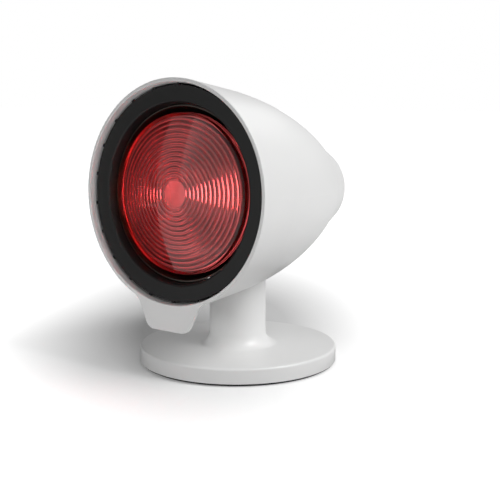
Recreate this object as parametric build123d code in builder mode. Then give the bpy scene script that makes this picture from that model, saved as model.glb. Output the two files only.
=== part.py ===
from build123d import *
import os
from math import atan2, cos, hypot, radians, sin, sqrt, tan

# An infrared heat lamp: a white bell-shaped head with a red reflector bulb, tilting on a
# round column that stands on a weighted round base.
# Millimetres and degrees. +Z is up, the origin is the middle of the underside of the base
# on the table, and the lamp's front faces -Y. The head is drawn in its own frame: a distance
# "back" runs from the plane of the front rim towards the rear cap, along the head's axis.

# ------------------------------------------------------------------ driving dimensions
# clearances
rest_gap = 0.1            # between faces that are screwed or pushed together
running_gap = 0.05        # radial, between the tilt bolt and the bore that turns on it
turning_gap = 0.1         # between faces that turn past each other at the hinge
screw_gap = 0.05          # radial, between a screw's shank and its hole

# base and column
base_radius = 79.8
base_height = 12.2        # of the white moulding, above its lower edge
base_wall = 2.5
base_edge_round = 2.0
column_radius = 22.8
column_bore = 18.5        # radius of the wide bore in the lower column
column_foot_round = 10.0
foot_land = 1.0           # upright part of the base's foot above that round
socket_height = 8.0       # of the ring on the foot that the column is glued over
socket_wall = 2.0
neck_bore = 10.8          # radius of the narrow bore at the column's top
neck_length = 16.0        # of the narrow bore below the shoulder
pad_thickness = 1.0
pad_inset = 2.8           # from the edge of the base
plate_edge = 1.0          # thickness of the plate's visible edge
plate_edge_inset = 1.2
plate_spigot = 1.4        # the part of the plate that goes up inside the moulding
base_screw_inset = 17.8   # of the base screws from the base's edge
base_boss_radius = 4.0
base_screw_radius = 1.6
base_screw_head_radius = 3.2
base_screw_clear = 0.5    # round a boss, and over a pilot hole's end
ballast_gap = 5.3         # from the ballast to the side of the base's pocket
ballast_hole = 27.0
ballast_height = 6.6
cord_radius = 3.1         # bore of the bush that the mains cord goes through
bush_wall = 0.9
bush_flange_radius = 5.0
bush_flange = 2.1         # thickness of the bush's round flange outside the base
bush_inner_width = 12.0   # of its oblong flange inside the base
bush_inner_flange = 2.0
bush_corner = 1.5
lead_radius = 2.8         # the lead inside the column
lead_offset = 6.8         # from the column's axis, where it passes the tilt bolt
lead_upright = 20.0       # the lead's first straight run, above the terminal block
lead_bend = 30.0
terminal_width = 18.0
terminal_depth = 14.0
terminal_height = 7.0
terminal_corner = 1.5
terminal_bore = 1.6       # radius of each wire hole
terminal_screw_radius = 1.5

# tilt hinge
pivot_height = 86.2
knuckle_radius = 11.5     # round end of each lug on the column, about the pivot
knuckle_half_width = 20.5
shoulder_drop = 13.0      # from the pivot down to the column's shoulder
bolt_radius = 3.0
bolt_head_radius = 5.7
bolt_head_height = 4.0
nut_height = 5.0
bolt_end = 2.0            # of the bolt's end past the nut
washer_thickness = 1.6
spring_washer_thickness = 2.0
spring_washer_strip = 1.0
washer_radius = 6.2
friction_disc = 1.5       # thickness
friction_disc_radius = 9.5
cheek_thickness = 3.0
cheek_set_back = 0.6      # from the side of the slot that the column comes up through
cheek_radius = 10.0
cheek_foot = 20.0         # half length of a cheek's foot in the shell's wall
rest_tilt = 2.9           # how far the head looks up as it stands
tilt_up = 35.0            # range from rest
tilt_down = 5.0

# head
rim_radius = 85.0
shell_wall = 2.9          # the flat rim's width, and the wall measured across the head
shell_length = 155.1
shell_rear_radius = 49.4
shell_draft = 6.0         # slope of the shell's straight front part
shell_straight = 45.0     # how far back that part goes, before the side bends in
rim_edge_round = 0.8
rim_ahead_of_pivot = 85.0
axis_above_pivot = 52.0
slot_side_gap = 1.2       # between the column and the slot in the shell
slot_end_gap = 0.8
lip_drop = 17.0           # of the tilt lip, below the rim
lip_half_width = 19.0     # at its lower edge
lip_half_root = 29.5      # where it meets the rim
lip_corner = 9.0
lip_flare = 20.0
lip_thickness = 3.0
lip_edge_round = 0.5
web_thickness = 2.5       # the rear wall, glued into the shell's rear end
ledge_width = 2.0         # of the ledge in the shell that the rear wall bears on
ledge_length = 2.0
web_hole = 24.0
web_slot_circle = 35.0
web_slot_width = 5.0
web_slot_length = 10.0
web_slot_count = 12

# shade ring round the bulb
shade_depth = 5.3         # from the rim plane back to its flat face
shade_outer_radius = 79.8
shade_lens_gap = 8.5      # from the bulb's edge to the ring
shade_thickness = 1.6
sleeve_taper = 2.8        # how much narrower the sleeve's rear end is than the ring
sleeve_end = 15.0
spacer_count = 22
spacer_width = 2.4
spacer_gap = 0.25         # from a spacer's end to the shell
spacer_root = 1.0         # how far a spacer runs in over the ring

# bulb: a red reflector lamp with an E27 cap, 121 mm across and 136 mm long
lens_rim = 15.0           # from the rim plane back to the lens's edge
lens_radius = 60.5
lens_dome = 12.0          # height of the lens's dome
lens_glass = 2.2
lens_flange = 3.0         # width and depth of the plain rim round the ridges
lens_button_radius = 12.0
lens_button_step = 0.5    # how much thicker the glass is there
lens_button_edge = 1.0    # width of the slope round the plain middle
lens_bevel = 0.8
ridge_count = 13
ridge_height = 0.6
dish_inset = 0.5          # of the dish's front from the lens's edge
dish_rear = 98.0          # the rear end of the parabolic dish
dish_rear_radius = 22.0
dish_arc = 250.0          # radius of the dish's bulge in section
dish_glass = 2.0
neck_end = 108.0
neck_radius = 16.5
cap_start = 110.5
cap_radius = 13.2
cap_length = 22.5
cap_wall = 0.6
cap_fit = 0.1             # between the cap and the glass in it
cap_shoulder = 2.5        # the cap's rear edge is turned in by this
cap_shoulder_length = 1.2
neck_plug = 3.0           # length of the glass inside the cap
insulator_height = 4.0
contact_radius = 4.6
contact_height = 2.0

# heat shield and lampholder
shield_gap = 3.4          # between the bulb and the shield
shield_wall = 0.8
shield_front = 12.8
shield_dish_end = 92.0    # where the dish turns into a straight throat
shield_flange_radius = 31.0
shield_slot_start = 60.0
shield_slot_length = 14.0
shield_slot_width = 5.0
shield_slot_count = 8
carrier_face = 112.0      # front of the carrier plate
carrier_thickness = 1.2
carrier_radius = 38.0
carrier_arm_width = 13.0
carrier_screw_circle = 54.5
carrier_hole = 20.0
shell_boss_radius = 4.2
rivet_circle = 26.0
rivet_radius = 1.5
rivet_head_radius = 2.6
rivet_head_height = 0.9
holder_radius = 19.5
holder_front = 111.0
holder_length = 41.0
holder_floor = 10.0
holder_bore_gap = 0.15    # between the screw sleeve and the porcelain round it
holder_bore_end = 134.5
holder_chamber = 12.0     # radius of the room for the centre contact
holder_round = 1.5
holder_ear_reach = 31.0
holder_ear_width = 15.0
holder_ear_thickness = 4.0
holder_screw_circle = 26.0
holder_screw_radius = 1.9
sleeve_gap = 0.6          # between the bulb's cap and the lampholder's screw sleeve
sleeve_wall = 0.55
tongue_width = 7.0        # the sprung strip of the centre contact
tongue_thickness = 0.6
tongue_half_span = 7.0
tongue_foot = 3.0
tongue_gap = 0.3          # to the bulb's own contact
head_lead_start = 92.0    # back from the rim plane, just over the hinge
head_lead_start_drop = 35.0
head_lead_knee = 106.0    # where it bends to run straight back
head_lead_drop = 42.0     # how far that run lies below the head's axis
head_lead_bend = 12.0
head_lead_entry = 6.0     # how far it goes into the lampholder

# rear cap
cap_vent_gap = 3.3        # open ring between the shell and the cap
rear_cap_front_radius = 47.2
rear_cap_rear_radius = 32.5   # where its side and its rear would meet
rear_cap_length = 38.3
rear_cap_round = 9.0
rear_cap_crown = 1.5
rear_cap_wall = 2.3
rear_cap_post_radius = 3.8
rear_cap_post_circle = 30.0

# small screws
small_screw_radius = 1.45
small_screw_head_height = 1.8
small_screw_length = 9.0

os.makedirs("parts", exist_ok=True)


def finish(piece, name):
    """Gives a finished piece its name and writes it to its own STEP file."""
    piece.part.label = name
    export_step(piece.part, f"parts/{name}.step")


# ------------------------------------------------------------------ the head's frame
head_back = Vector(0, cos(radians(rest_tilt)), -sin(radians(rest_tilt)))
head_up = Vector(0, sin(radians(rest_tilt)), cos(radians(rest_tilt)))
pivot = Vector(0, 0, pivot_height)
rim_centre = pivot + head_up * axis_above_pivot - head_back * rim_ahead_of_pivot
head_axis = Axis(rim_centre, head_back)
# x is the distance from the head's axis, y the distance back from the rim plane
head_section = Plane(rim_centre, x_dir=(1, 0, 0), z_dir=head_up)


def head_plane(back):
    """A plane across the head's axis: x to the lamp's left, y down, z towards the rear."""
    return Plane(rim_centre + head_back * back, x_dir=(1, 0, 0), z_dir=head_back)


def side_plane(x):
    """A plane at that x, with its origin on the pivot line: x towards the rear, y up."""
    return Plane(pivot + Vector(x, 0, 0), x_dir=head_back, z_dir=(1, 0, 0))


# the shell's side runs straight back from the rim, then bends in along one arc
bend_radius = rim_radius - shell_straight * tan(radians(shell_draft))
bend_turn = atan2(bend_radius - shell_rear_radius, shell_length - shell_straight) - radians(shell_draft)
bend_chord = hypot(bend_radius - shell_rear_radius, shell_length - shell_straight)
side_arc = bend_chord / (2 * sin(bend_turn))
side_centre = Vector(
    bend_radius - side_arc * cos(radians(shell_draft)),
    shell_straight - side_arc * sin(radians(shell_draft)),
)


def shell_radius(back, inset=0.0):
    """The shell's radius at a distance back, less inset."""
    if back < shell_straight:
        return rim_radius - back * tan(radians(shell_draft)) - inset
    return side_centre.X + sqrt(side_arc**2 - (back - side_centre.Y) ** 2) - inset


def shell_side(inset=0.0):
    """Draws the shell's side line (radius, back) from the rim to the rear."""
    halfway = (shell_straight + shell_length) / 2
    front = Line((rim_radius - inset, 0), (shell_radius(shell_straight, inset), shell_straight))
    bend = ThreePointArc(
        front @ 1,
        (shell_radius(halfway, inset), halfway),
        (shell_rear_radius - inset, shell_length),
    )
    return front @ 0, bend @ 1


def column_reach(lean, side):
    """How far from the pivot the column's face meets the shell's outside, at a lean
    of the column from the head's own down direction. side is 1 behind, -1 in front."""
    reach = column_radius
    for _ in range(30):
        drop = shell_radius(rim_ahead_of_pivot + side * reach) - axis_above_pivot
        reach = side * drop * tan(radians(lean)) + column_radius / cos(radians(lean))
    return reach


# the bulb's dish is one shallow arc in section, from the lens to the neck
dish_start = lens_rim + lens_flange
dish_front_radius = lens_radius - dish_inset
dish_front_end = Vector(dish_front_radius, dish_start)
dish_rear_end = Vector(dish_rear_radius, dish_rear)
dish_chord = dish_rear_end - dish_front_end
dish_inward = Vector(-dish_chord.Y, dish_chord.X).normalized()
dish_centre = (dish_front_end + dish_rear_end) / 2 + dish_inward * sqrt(
    dish_arc**2 - (dish_chord.length / 2) ** 2
)


def dish_radius(back, gap=0.0):
    """Radius of the bulb's dish at a distance back, on a line gap outside it."""
    return dish_centre.X + sqrt((dish_arc + gap) ** 2 - (back - dish_centre.Y) ** 2)


def dish_line(start, end, gap):
    """Draws the dish's line (radius, back), moved out by gap, between two distances back."""
    middle = (start + end) / 2
    return ThreePointArc(
        (dish_radius(start, gap), start),
        (dish_radius(middle, gap), middle),
        (dish_radius(end, gap), end),
    )


def rings(part, radius, height=None):
    """The circular edges of one radius, at one height if it is given."""
    found = part.edges().filter_by(GeomType.CIRCLE)
    found = found.filter_by(lambda edge: abs(edge.radius - radius) < 1e-3)
    if height is None:
        return found
    return found.filter_by(lambda edge: abs(edge.arc_center.Z - height) < 1e-3)


def in_head(back, drop):
    """A point of the head's middle plane, drop below its axis."""
    return rim_centre + head_back * back - head_up * drop


def pan_screws(circle, count, start, face, toward, shank_radius, shank_length):
    """Pan-head screws on a circle about the head's axis. The heads bear on a face, and the
    shanks run from it to the rear, or to the front if toward is -1."""
    with BuildPart() as screws:
        with BuildSketch(head_plane(face)):
            with PolarLocations(circle, count, start_angle=start):
                Circle(2 * shank_radius)
        extrude(amount=-toward * small_screw_head_height)
        ends = rings(screws, 2 * shank_radius).group_by(head_axis)
        chamfer(ends[0 if toward == 1 else -1], small_screw_head_height / 2)
        with BuildSketch(head_plane(face)):
            with PolarLocations(circle, count, start_angle=start):
                Circle(shank_radius)
        extrude(amount=toward * shank_length)
    return screws


# ------------------------------------------------------------------ stand
base_bottom = pad_thickness + plate_edge
base_top = base_bottom + base_height
pocket_top = base_top - base_wall
pocket_radius = base_radius - base_wall
base_screw_circle = base_radius - base_screw_inset
ballast_radius = pocket_radius - ballast_gap
plate_top = base_bottom + plate_spigot
shoulder = pivot_height - shoulder_drop
neck_start = shoulder - neck_length
bush_height = (plate_top + pocket_top) / 2
foot_top = base_top + column_foot_round + foot_land
socket_radius = column_bore + socket_wall

# the base is a disc with a foot for the column, and a ring on the foot to glue it over
with BuildPart() as base_moulding:
    with BuildSketch(Plane.XY.offset(base_bottom)):
        Circle(base_radius)
    extrude(amount=base_height)
    with BuildSketch(Plane.XY.offset(base_top)):
        Circle(column_radius)
    extrude(amount=foot_top - base_top)
    fillet(rings(base_moulding, column_radius, base_top), column_foot_round)
    fillet(rings(base_moulding, base_radius, base_top), base_edge_round)
    with BuildSketch(Plane.XY.offset(foot_top)):
        Circle(socket_radius)
    extrude(amount=socket_height)
    with BuildSketch(Plane.XY.offset(base_bottom)):
        Circle(column_bore)
    extrude(amount=foot_top + socket_height - base_bottom, mode=Mode.SUBTRACT)
    # pocket for the ballast, with the bosses of the base screws left standing
    with BuildSketch(Plane.XY.offset(base_bottom)):
        Circle(pocket_radius)
        with PolarLocations(base_screw_circle, 4, start_angle=45):
            Circle(base_boss_radius, mode=Mode.SUBTRACT)
    extrude(amount=pocket_top - base_bottom, mode=Mode.SUBTRACT)
    with BuildSketch(Plane.XY.offset(base_bottom)):
        with PolarLocations(base_screw_circle, 4, start_angle=45):
            Circle(base_boss_radius + base_screw_clear)
    extrude(amount=plate_spigot + rest_gap, mode=Mode.SUBTRACT)
    with BuildSketch(Plane.XY.offset(base_bottom)):
        with PolarLocations(base_screw_circle, 4, start_angle=45):
            Circle(base_screw_radius + screw_gap)
    extrude(amount=pocket_top - base_bottom - base_screw_clear, mode=Mode.SUBTRACT)
    # the hole for the cord's bush
    with BuildSketch(Plane.XZ.offset(-base_radius - 1)):
        with Locations((0, bush_height)):
            Circle(cord_radius + bush_wall + rest_gap)
    extrude(amount=2 * base_wall, mode=Mode.SUBTRACT)
finish(base_moulding, "base_moulding")

# the column, with the hinge's two lugs at its top
column_bottom = foot_top + rest_gap
with BuildPart() as column:
    with BuildSketch(Plane.XY.offset(column_bottom)):
        Circle(column_radius)
    extrude(amount=shoulder - column_bottom)
    # each lug is the round column cut flat at its side and round about the pivot
    with BuildSketch(Plane.XY.offset(shoulder)):
        Circle(column_radius)
        Rectangle(2 * knuckle_half_width, 2 * knuckle_radius, mode=Mode.INTERSECT)
    extrude(amount=shoulder_drop)
    with BuildSketch(Plane.YZ.offset(-knuckle_half_width)):
        with Locations((0, pivot_height)):
            Circle(knuckle_radius)
    extrude(amount=2 * knuckle_half_width)
    # the lead's way up: a wide bore, a cone and a narrow neck that parts the lugs
    with BuildSketch(Plane.XZ):
        with BuildLine():
            Polyline(
                (0, column_bottom),
                (socket_radius + rest_gap, column_bottom),
                (socket_radius + rest_gap, column_bottom + socket_height),
                (column_bore, column_bottom + socket_height),
                (column_bore, neck_start - (column_bore - neck_bore)),
                (neck_bore, neck_start),
                (neck_bore, pivot_height + knuckle_radius + 1),
                (0, pivot_height + knuckle_radius + 1),
                close=True,
            )
        make_face()
    revolve(axis=Axis.Z, mode=Mode.SUBTRACT)
    # the tilt bolt's bore
    with BuildSketch(Plane.YZ.offset(-column_radius)):
        with Locations((0, pivot_height)):
            Circle(bolt_radius + running_gap)
    extrude(amount=2 * column_radius, mode=Mode.SUBTRACT)
finish(column, "column")

# a cast disc round the terminal block, with a way out to the rear for the cord
with BuildPart() as ballast:
    with BuildSketch(Plane.XY.offset(plate_top + rest_gap)):
        Circle(ballast_radius)
        Circle(ballast_hole, mode=Mode.SUBTRACT)
        with Locations((0, (ballast_radius + ballast_hole) / 2)):
            Rectangle(4 * cord_radius, ballast_radius, mode=Mode.SUBTRACT)
        with PolarLocations(base_screw_circle, 4, start_angle=45):
            Circle(base_boss_radius + base_screw_clear, mode=Mode.SUBTRACT)
    extrude(amount=ballast_height)
finish(ballast, "ballast")

# the plate that closes the base from below, with a spigot inside the moulding
with BuildPart() as base_plate:
    with BuildSketch(Plane.XY.offset(pad_thickness)):
        Circle(base_radius - plate_edge_inset)
    extrude(amount=plate_edge)
    with BuildSketch(Plane.XY.offset(base_bottom)):
        Circle(pocket_radius - rest_gap)
    extrude(amount=plate_spigot)
    with Locations(Plane.XY.offset(pad_thickness)):
        with PolarLocations(base_screw_circle, 4, start_angle=45):
            screw_cone = base_screw_head_radius - base_screw_radius
            Cone(
                base_screw_head_radius + screw_gap,
                base_screw_radius + screw_gap,
                screw_cone,
                align=(Align.CENTER, Align.CENTER, Align.MIN),
                mode=Mode.SUBTRACT,
            )
            Cylinder(
                base_screw_radius + screw_gap,
                plate_edge + plate_spigot,
                align=(Align.CENTER, Align.CENTER, Align.MIN),
                mode=Mode.SUBTRACT,
            )
finish(base_plate, "base_plate")

# countersunk screws up through the plate into the moulding's bosses
with BuildPart() as base_screws:
    with Locations(Plane.XY.offset(pad_thickness)):
        with PolarLocations(base_screw_circle, 4, start_angle=45):
            Cone(
                base_screw_head_radius,
                base_screw_radius,
                screw_cone,
                align=(Align.CENTER, Align.CENTER, Align.MIN),
            )
            Cylinder(
                base_screw_radius,
                pocket_top - pad_thickness - 1,
                align=(Align.CENTER, Align.CENTER, Align.MIN),
            )
finish(base_screws, "base_screws")

# the non-slip pad glued under the plate, which hides the screws
with BuildPart() as foot_pad:
    with BuildSketch():
        Circle(base_radius - pad_inset)
    extrude(amount=pad_thickness)
    chamfer(rings(foot_pad, base_radius - pad_inset, 0), pad_thickness / 4)
finish(foot_pad, "foot_pad")

# rubber bush in the rear of the base, with a round flange outside and an oblong one inside
bush_outer_face = base_radius + rest_gap + bush_flange
bush_inner_face = pocket_radius - 4 * rest_gap - bush_inner_flange
bush_length = bush_outer_face - bush_inner_face
with BuildPart() as cord_bush:
    with BuildSketch(Plane.XZ.offset(-bush_outer_face)):
        with Locations((0, bush_height)):
            Circle(bush_flange_radius)
    extrude(amount=bush_flange)
    fillet(cord_bush.edges().sort_by(Axis.Y)[-1], bush_flange / 3)
    with BuildSketch(Plane.XZ.offset(-bush_inner_face)):
        with Locations((0, bush_height)):
            RectangleRounded(bush_inner_width, pocket_top - plate_top - 2 * rest_gap, bush_corner)
    extrude(amount=-bush_inner_flange)
    with BuildSketch(Plane.XZ.offset(-bush_outer_face + bush_flange)):
        with Locations((0, bush_height)):
            Circle(cord_radius + bush_wall)
    extrude(amount=bush_length - bush_flange)
    with BuildSketch(Plane.XZ.offset(-bush_outer_face)):
        with Locations((0, bush_height)):
            Circle(cord_radius)
    extrude(amount=bush_length, mode=Mode.SUBTRACT)
finish(cord_bush, "cord_bush")

# the block that joins the mains cord to the lead in the column
terminal_bottom = plate_top + rest_gap
terminal_pitch = terminal_width / 3
with BuildPart() as terminal_block:
    with BuildSketch(Plane.XY.offset(terminal_bottom)):
        RectangleRounded(terminal_width, terminal_depth, terminal_corner)
    extrude(amount=terminal_height)
    with BuildSketch(Plane.XZ.offset(-terminal_depth)):
        with Locations((0, terminal_bottom + terminal_height * 0.4)):
            with GridLocations(terminal_pitch, 1, 2, 1):
                Circle(terminal_bore)
    extrude(amount=2 * terminal_depth, mode=Mode.SUBTRACT)
    with BuildSketch(Plane.XY.offset(terminal_bottom + terminal_height)):
        with GridLocations(terminal_pitch, terminal_depth / 2, 2, 2):
            Circle(terminal_screw_radius)
    extrude(amount=-terminal_height * 0.6, mode=Mode.SUBTRACT)
finish(terminal_block, "terminal_block")

with BuildPart() as terminal_screws:
    with BuildSketch(Plane.XY.offset(terminal_bottom + terminal_height * 0.55)):
        with GridLocations(terminal_pitch, terminal_depth / 2, 2, 2):
            Circle(terminal_screw_radius - screw_gap)
    extrude(amount=terminal_height * 0.35)
finish(terminal_screws, "terminal_screws")

# the sheathed lead, from the block up the column to the open middle between the lugs
lead_bottom = terminal_bottom + terminal_height + rest_gap
lead_top = pivot_height + knuckle_radius - 2
with BuildPart() as column_lead:
    with BuildLine():
        lead_path = FilletPolyline(
            (0, 0, lead_bottom),
            (0, 0, lead_bottom + lead_upright),
            (0, lead_offset, neck_start - 2 * lead_radius),
            (0, lead_offset, lead_top),
            radius=lead_bend,
        )
    with BuildSketch(Plane.XY.offset(lead_bottom)):
        Circle(lead_radius)
    sweep()
finish(column_lead, "column_lead")

# ------------------------------------------------------------------ tilt hinge
slot_radius = column_radius + slot_side_gap
cheek_inside = slot_radius + cheek_set_back
cheek_outside = cheek_inside + cheek_thickness
boss_inside = knuckle_half_width + friction_disc + 2 * turning_gap
bolt_head_face = cheek_outside + washer_thickness + 2 * rest_gap
nut_face = cheek_outside + spring_washer_thickness + 2 * rest_gap

# the bolt's head and nut bear on the cheeks outside, through a plain and a spring washer
with BuildPart() as tilt_bolt:
    with BuildSketch(side_plane(-bolt_head_face - bolt_head_height)):
        Circle(bolt_radius)
    extrude(amount=bolt_head_height + bolt_head_face + nut_face + nut_height + bolt_end)
    with BuildSketch(side_plane(-bolt_head_face - bolt_head_height)):
        RegularPolygon(bolt_head_radius, 6)
    extrude(amount=bolt_head_height)
finish(tilt_bolt, "tilt_bolt")

with BuildPart() as bolt_washer:
    with BuildSketch(side_plane(-cheek_outside - rest_gap)):
        Circle(washer_radius)
        Circle(bolt_radius + rest_gap, mode=Mode.SUBTRACT)
    extrude(amount=-washer_thickness)
finish(bolt_washer, "bolt_washer")

# a coned spring washer keeps the friction discs pressed on the lugs
with BuildPart() as spring_washer:
    with BuildSketch(Plane(pivot, x_dir=(1, 0, 0), z_dir=head_up)):
        with BuildLine():
            Polyline(
                (cheek_outside + rest_gap, washer_radius),
                (cheek_outside + rest_gap + spring_washer_strip, washer_radius),
                (cheek_outside + rest_gap + spring_washer_thickness, bolt_radius + rest_gap),
                (cheek_outside + rest_gap + spring_washer_strip, bolt_radius + rest_gap),
                close=True,
            )
        make_face()
    revolve(axis=Axis(pivot, (1, 0, 0)))
finish(spring_washer, "spring_washer")

with BuildPart() as tilt_nut:
    with BuildSketch(side_plane(nut_face)):
        RegularPolygon(bolt_head_radius, 6)
        Circle(bolt_radius + screw_gap, mode=Mode.SUBTRACT)
    extrude(amount=nut_height)
finish(tilt_nut, "tilt_nut")

with BuildPart() as friction_discs:
    with BuildSketch(side_plane(knuckle_half_width + turning_gap)):
        Circle(friction_disc_radius)
        Circle(bolt_radius + rest_gap, mode=Mode.SUBTRACT)
    extrude(amount=friction_disc)
    mirror(about=Plane.YZ)
finish(friction_discs, "friction_discs")

# ------------------------------------------------------------------ head shell
lean_down = rest_tilt - tilt_down
lean_up = rest_tilt + tilt_up
slot_front = column_reach(lean_down, -1) + slot_end_gap
slot_rear = column_reach(lean_up, 1) + slot_end_gap
slot_centres = slot_front + slot_rear - 2 * slot_radius
web_face = shell_length - web_thickness
web_radius = shell_rear_radius - shell_wall - rest_gap

# everything that stands inside the shell is trimmed to the middle of its wall
with BuildPart() as shell_core:
    with BuildSketch(head_section):
        with BuildLine():
            core_front, core_rear = shell_side(shell_wall / 2)
            Polyline(core_rear, (0, shell_length), (0, 0), core_front)
        make_face()
    revolve(axis=head_axis)

# the two cheeks of the hinge, each a rib with a round head and an inward boss
with BuildPart() as cheeks:
    with BuildSketch(side_plane(cheek_inside)):
        Circle(cheek_radius)
        Polygon(
            (-cheek_radius, 0),
            (cheek_radius, 0),
            (cheek_foot, -axis_above_pivot),
            (-cheek_foot, -axis_above_pivot),
            align=None,
        )
    extrude(amount=cheek_thickness)
    with BuildSketch(side_plane(boss_inside)):
        Circle(friction_disc_radius)
    extrude(amount=cheek_inside - boss_inside)
    mirror(about=Plane.YZ)
    # bosses for the carrier plate, one at the top and one at each lower side
    with BuildSketch(head_plane(carrier_face + carrier_thickness)):
        with PolarLocations(carrier_screw_circle, 3, start_angle=-90):
            Circle(shell_boss_radius)
    extrude(amount=shell_length - carrier_face - carrier_thickness - web_thickness)
    add(shell_core.part, mode=Mode.INTERSECT)

# the tilt lip, flared into the rim, to move the head by
with BuildPart() as lip_plate:
    with BuildSketch(head_plane(0)) as lip:
        lip_root = sqrt((rim_radius - rim_edge_round) ** 2 - lip_half_root**2)
        Polygon(
            (-lip_half_root, lip_root),
            (lip_half_root, lip_root),
            (lip_half_width, rim_radius + lip_drop),
            (-lip_half_width, rim_radius + lip_drop),
            align=None,
        )
        fillet(lip.vertices().sort_by(Axis.Y)[-2:], lip_corner)
        Circle(rim_radius - rim_edge_round)
        lip_roots = lip.vertices().filter_by(lambda v: abs(abs(v.X) - lip_half_root) < 0.01)
        fillet(lip_roots, lip_flare)
        Circle(rim_radius - shell_wall / 2, mode=Mode.SUBTRACT)
    extrude(amount=lip_thickness)
    lip_tip = lip_plate.edges().sort_by(Axis.Z)[:2]
    fillet(lip_tip, lip_edge_round)

with BuildPart() as lamp_shell:
    with BuildSketch(head_section) as shell_section:
        with BuildLine():
            outer_front, outer_rear = shell_side()
            inner_front, inner_rear = shell_side(shell_wall)
            Line(outer_front, inner_front)
            Line(outer_rear, inner_rear)
        make_face()
        fillet(shell_section.vertices().sort_by(Axis.Y)[:2], rim_edge_round)
    revolve(axis=head_axis)
    add(lip_plate.part)
    # the slot in the belly that the column comes up through
    with BuildSketch(Plane(pivot, x_dir=head_back, z_dir=-head_up)):
        with Locations(((slot_rear - slot_front) / 2, 0)):
            SlotCenterToCenter(slot_centres, 2 * slot_radius)
    extrude(amount=axis_above_pivot, mode=Mode.SUBTRACT)
    # the ledge for the rear wall
    with BuildSketch(head_plane(web_face - rest_gap - ledge_length)):
        Circle(shell_radius(web_face, shell_wall / 2))
        Circle(web_radius - ledge_width, mode=Mode.SUBTRACT)
    extrude(amount=ledge_length)
    add(cheeks.part)
    # the tilt bolt's hole and the pilot holes of the carrier plate's screws
    with BuildSketch(side_plane(-cheek_outside)):
        Circle(bolt_radius + rest_gap)
    extrude(amount=2 * cheek_outside, mode=Mode.SUBTRACT)
    with BuildSketch(head_plane(carrier_face + carrier_thickness)):
        with PolarLocations(carrier_screw_circle, 3, start_angle=-90):
            Circle(small_screw_radius + screw_gap)
    extrude(amount=small_screw_length, mode=Mode.SUBTRACT)
finish(lamp_shell, "lamp_shell")

# the rear wall, with a ring of vents and the holes of the rear cap's screws
with BuildPart() as rear_wall:
    with BuildSketch(head_plane(web_face)):
        Circle(web_radius)
        Circle(web_hole, mode=Mode.SUBTRACT)
        with PolarLocations(web_slot_circle, web_slot_count, start_angle=180 / web_slot_count):
            SlotOverall(web_slot_length, web_slot_width, mode=Mode.SUBTRACT)
        with PolarLocations(rear_cap_post_circle, 3, start_angle=-90):
            Circle(small_screw_radius + screw_gap, mode=Mode.SUBTRACT)
    extrude(amount=web_thickness)
finish(rear_wall, "rear_wall")

# ------------------------------------------------------------------ shade ring
shade_inner_radius = lens_radius + shade_lens_gap
sleeve_end_radius = shade_inner_radius - sleeve_taper
spacer_reach = shell_radius(shade_depth + shade_thickness, shell_wall) - spacer_gap
with BuildPart() as shade_ring:
    with BuildSketch(head_section):
        with BuildLine():
            lip_arc_end = (shade_inner_radius - shade_thickness, shade_depth + shade_thickness)
            face = Line((shade_outer_radius, shade_depth), (shade_inner_radius, shade_depth))
            turn = RadiusArc(face @ 1, lip_arc_end, shade_thickness)
            Polyline(
                turn @ 1,
                (sleeve_end_radius, sleeve_end),
                (sleeve_end_radius + shade_thickness, sleeve_end),
                (shade_inner_radius, shade_depth + shade_thickness),
                (shade_outer_radius, shade_depth + shade_thickness),
                face @ 0,
            )
        make_face()
    revolve(axis=head_axis)
    with BuildSketch(head_plane(shade_depth)):
        with PolarLocations(shade_outer_radius - spacer_root, spacer_count, start_angle=90):
            spacer_length = spacer_reach - shade_outer_radius + spacer_root
            Rectangle(spacer_length, spacer_width, align=(Align.MIN, Align.CENTER))
    extrude(amount=shade_thickness)
finish(shade_ring, "shade_ring")

# ------------------------------------------------------------------ bulb
with BuildPart() as bulb_lens:
    ridge_inner = lens_button_radius + lens_button_edge
    ridge_outer = lens_radius - lens_flange
    pitch = (ridge_outer - ridge_inner) / ridge_count
    dome_radius = (ridge_outer**2 + lens_dome**2) / (2 * lens_dome)

    def dome_back(radius):
        """Distance back of the dome's smooth surface at a radius."""
        rise = dome_radius - sqrt(dome_radius**2 - radius**2)
        return lens_rim - lens_dome + rise

    # the glass is smooth in front and ridged inside
    flange_back = lens_rim + lens_flange
    button_back = dome_back(0) + lens_glass + lens_button_step
    with BuildSketch(head_section):
        with BuildLine():
            dome = ThreePointArc(
                (0, dome_back(0)),
                (ridge_outer / 2, dome_back(ridge_outer / 2)),
                (ridge_outer, dome_back(ridge_outer)),
            )
            previous = Polyline(
                dome @ 1,
                (lens_radius - lens_bevel, lens_rim),
                (lens_radius, lens_rim + lens_bevel),
                (lens_radius, flange_back),
                (ridge_outer, flange_back),
                (ridge_outer, dome_back(ridge_outer) + lens_glass),
            )
            for i in range(ridge_count):
                outer = ridge_outer - i * pitch
                crest = outer - pitch / 2
                previous = Polyline(
                    previous @ 1,
                    (crest, dome_back(crest) + lens_glass + ridge_height),
                    (outer - pitch, dome_back(outer - pitch) + lens_glass),
                )
            Polyline(previous @ 1, (lens_button_radius, button_back), (0, button_back), dome @ 0)
        make_face()
    revolve(axis=head_axis)
finish(bulb_lens, "bulb_lens")

# the pressed-glass dish behind the lens, with its neck
with BuildPart() as bulb_reflector:
    with BuildSketch(head_section):
        with BuildLine():
            dish = dish_line(dish_start, dish_rear, 0)
            inner_dish = dish_line(dish_start, dish_rear, -dish_glass)
            Polyline(
                dish @ 1,
                (neck_radius, neck_end),
                (cap_radius - cap_wall - cap_fit, cap_start),
                (cap_radius - cap_wall - cap_fit, cap_start + neck_plug),
                (0, cap_start + neck_plug),
                (0, cap_start),
                inner_dish @ 1,
            )
            Line(inner_dish @ 0, dish @ 0)
        make_face()
    revolve(axis=head_axis)
finish(bulb_reflector, "bulb_reflector")

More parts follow.
